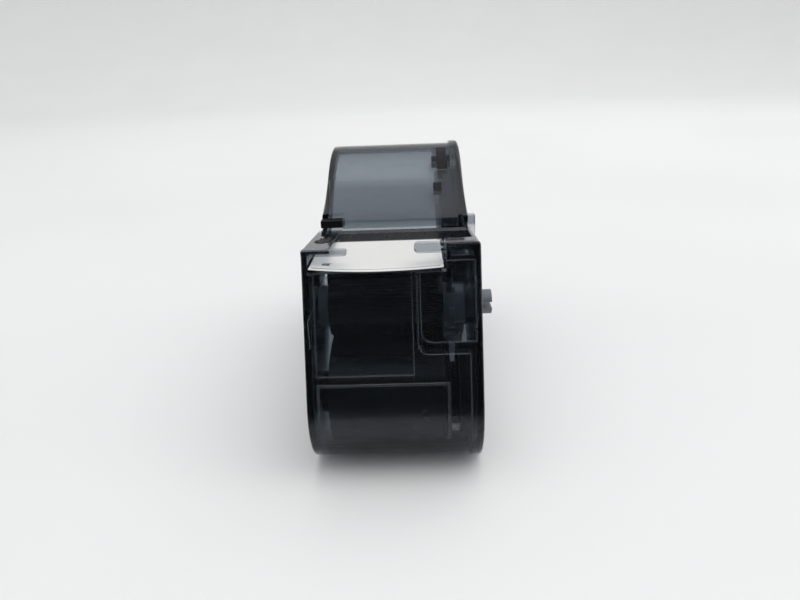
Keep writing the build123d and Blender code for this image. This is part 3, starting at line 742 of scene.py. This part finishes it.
def make_lamps():
    """Large soft lights, which no gloss shows."""
    for name, spot, target, size, watts in LAMPS:
        lamp = bpy.data.lights.new(name, "AREA")
        lamp.shape = "SQUARE"
        lamp.size = size
        lamp.energy = watts
        holder = bpy.data.objects.new(name, lamp)
        holder.location = spot
        aim = Vector(target) - Vector(spot)
        holder.rotation_euler = aim.to_track_quat("-Z", "Y").to_euler()
        holder.visible_glossy = False
        bpy.context.scene.collection.objects.link(holder)


def make_reflection_shade():
    """A black sheet behind the camera and under it, seen only in gloss: a painted dark reflection,
    so that the front reflects no wall and the lower curve reflects only the floor nearest the
    cassette.
    """
    g = Graph("painted_reflection_shade")
    nap = g.noise(scale=400.0)
    shade_black = g.colours(nap, (0.004, 0.004, 0.004), (0.007, 0.007, 0.007))
    normal = g.bump(nap, 0.2 * MM)
    black = g.add("BsdfPrincipled", Base_Color=shade_black, Roughness=0.9, Normal=normal)
    # Painted dark reflection: the foot is black away from the cassette, fades out near it, and is
    # clear from below.
    fade = g.ramp(g.along("Y"), FLAG_FADE_Y, (0.0, 1.0))
    under = g.add("NewGeometry").outputs["Backfacing"]
    none = g.add("BsdfTransparent")
    look = g.mix(g.maths("MAXIMUM", fade, under), black.outputs[0], none.outputs[0])
    corners = [
        (side * FLAG_HALF, y, z)
        for y, z in ((FLAG_Y, FLAG_H), (FLAG_Y, FLAG_LIFT), (FLAG_TOE_Y, FLAG_LIFT))
        for side in (-1, 1)
    ]
    faces = [(0, 1, 3, 2), (2, 3, 5, 4)]
    piece = mesh_object("reflection_shade_sheet", corners, faces, [g.surface(look)], smooth=False)
    piece.visible_camera = False
    piece.visible_diffuse = False
    piece.visible_shadow = False
    piece.visible_transmission = False


# --- Camera -----------------------------------------------------------------------------
CAMERA_AT = Vector((3.18, -153.77, 75.3)) * MM
CAMERA_TURN = 0.0291  # radians to the left
CAMERA_DOWN = 0.349  # radians below level
CAMERA_TILT = 0.0391  # radians of roll
CAMERA_LENS = 27.9  # millimetres, on a sensor of this width
CAMERA_SENSOR = 36.0
CAMERA_NEAR = 0.01


def make_camera():
    """The camera, low in front of the cassette and rolled a little."""
    data = bpy.data.cameras.new("camera")
    data.lens = CAMERA_LENS
    data.sensor_width = CAMERA_SENSOR
    data.clip_start = CAMERA_NEAR
    holder = bpy.data.objects.new("camera", data)
    ahead = Vector((-sin(CAMERA_TURN), cos(CAMERA_TURN), 0))
    right = Vector((cos(CAMERA_TURN), sin(CAMERA_TURN), 0))
    forward = ahead * cos(CAMERA_DOWN) - Vector((0, 0, sin(CAMERA_DOWN)))
    up = ahead * sin(CAMERA_DOWN) + Vector((0, 0, cos(CAMERA_DOWN)))
    right_tilted = right * cos(CAMERA_TILT) - up * sin(CAMERA_TILT)
    up_tilted = right * sin(CAMERA_TILT) + up * cos(CAMERA_TILT)
    turn = Matrix((right_tilted, up_tilted, -forward)).transposed()
    holder.matrix_world = Matrix.Translation(CAMERA_AT) @ turn.to_4x4()
    bpy.context.scene.collection.objects.link(holder)
    bpy.context.scene.camera = holder


# --- The scene --------------------------------------------------------------------------
bpy.context.scene.view_settings.view_transform = "Standard"
bpy.context.scene.cycles.transparent_max_bounces = 48  # a line of sight passes many walls
bpy.context.scene.cycles.max_bounces = 10

finish_nodes()
make_label_roll()
make_label_strip()
make_ribbon_rolls()
make_ribbon_film()
make_floor()
make_room()
make_lamps()
make_reflection_shade()
make_camera()
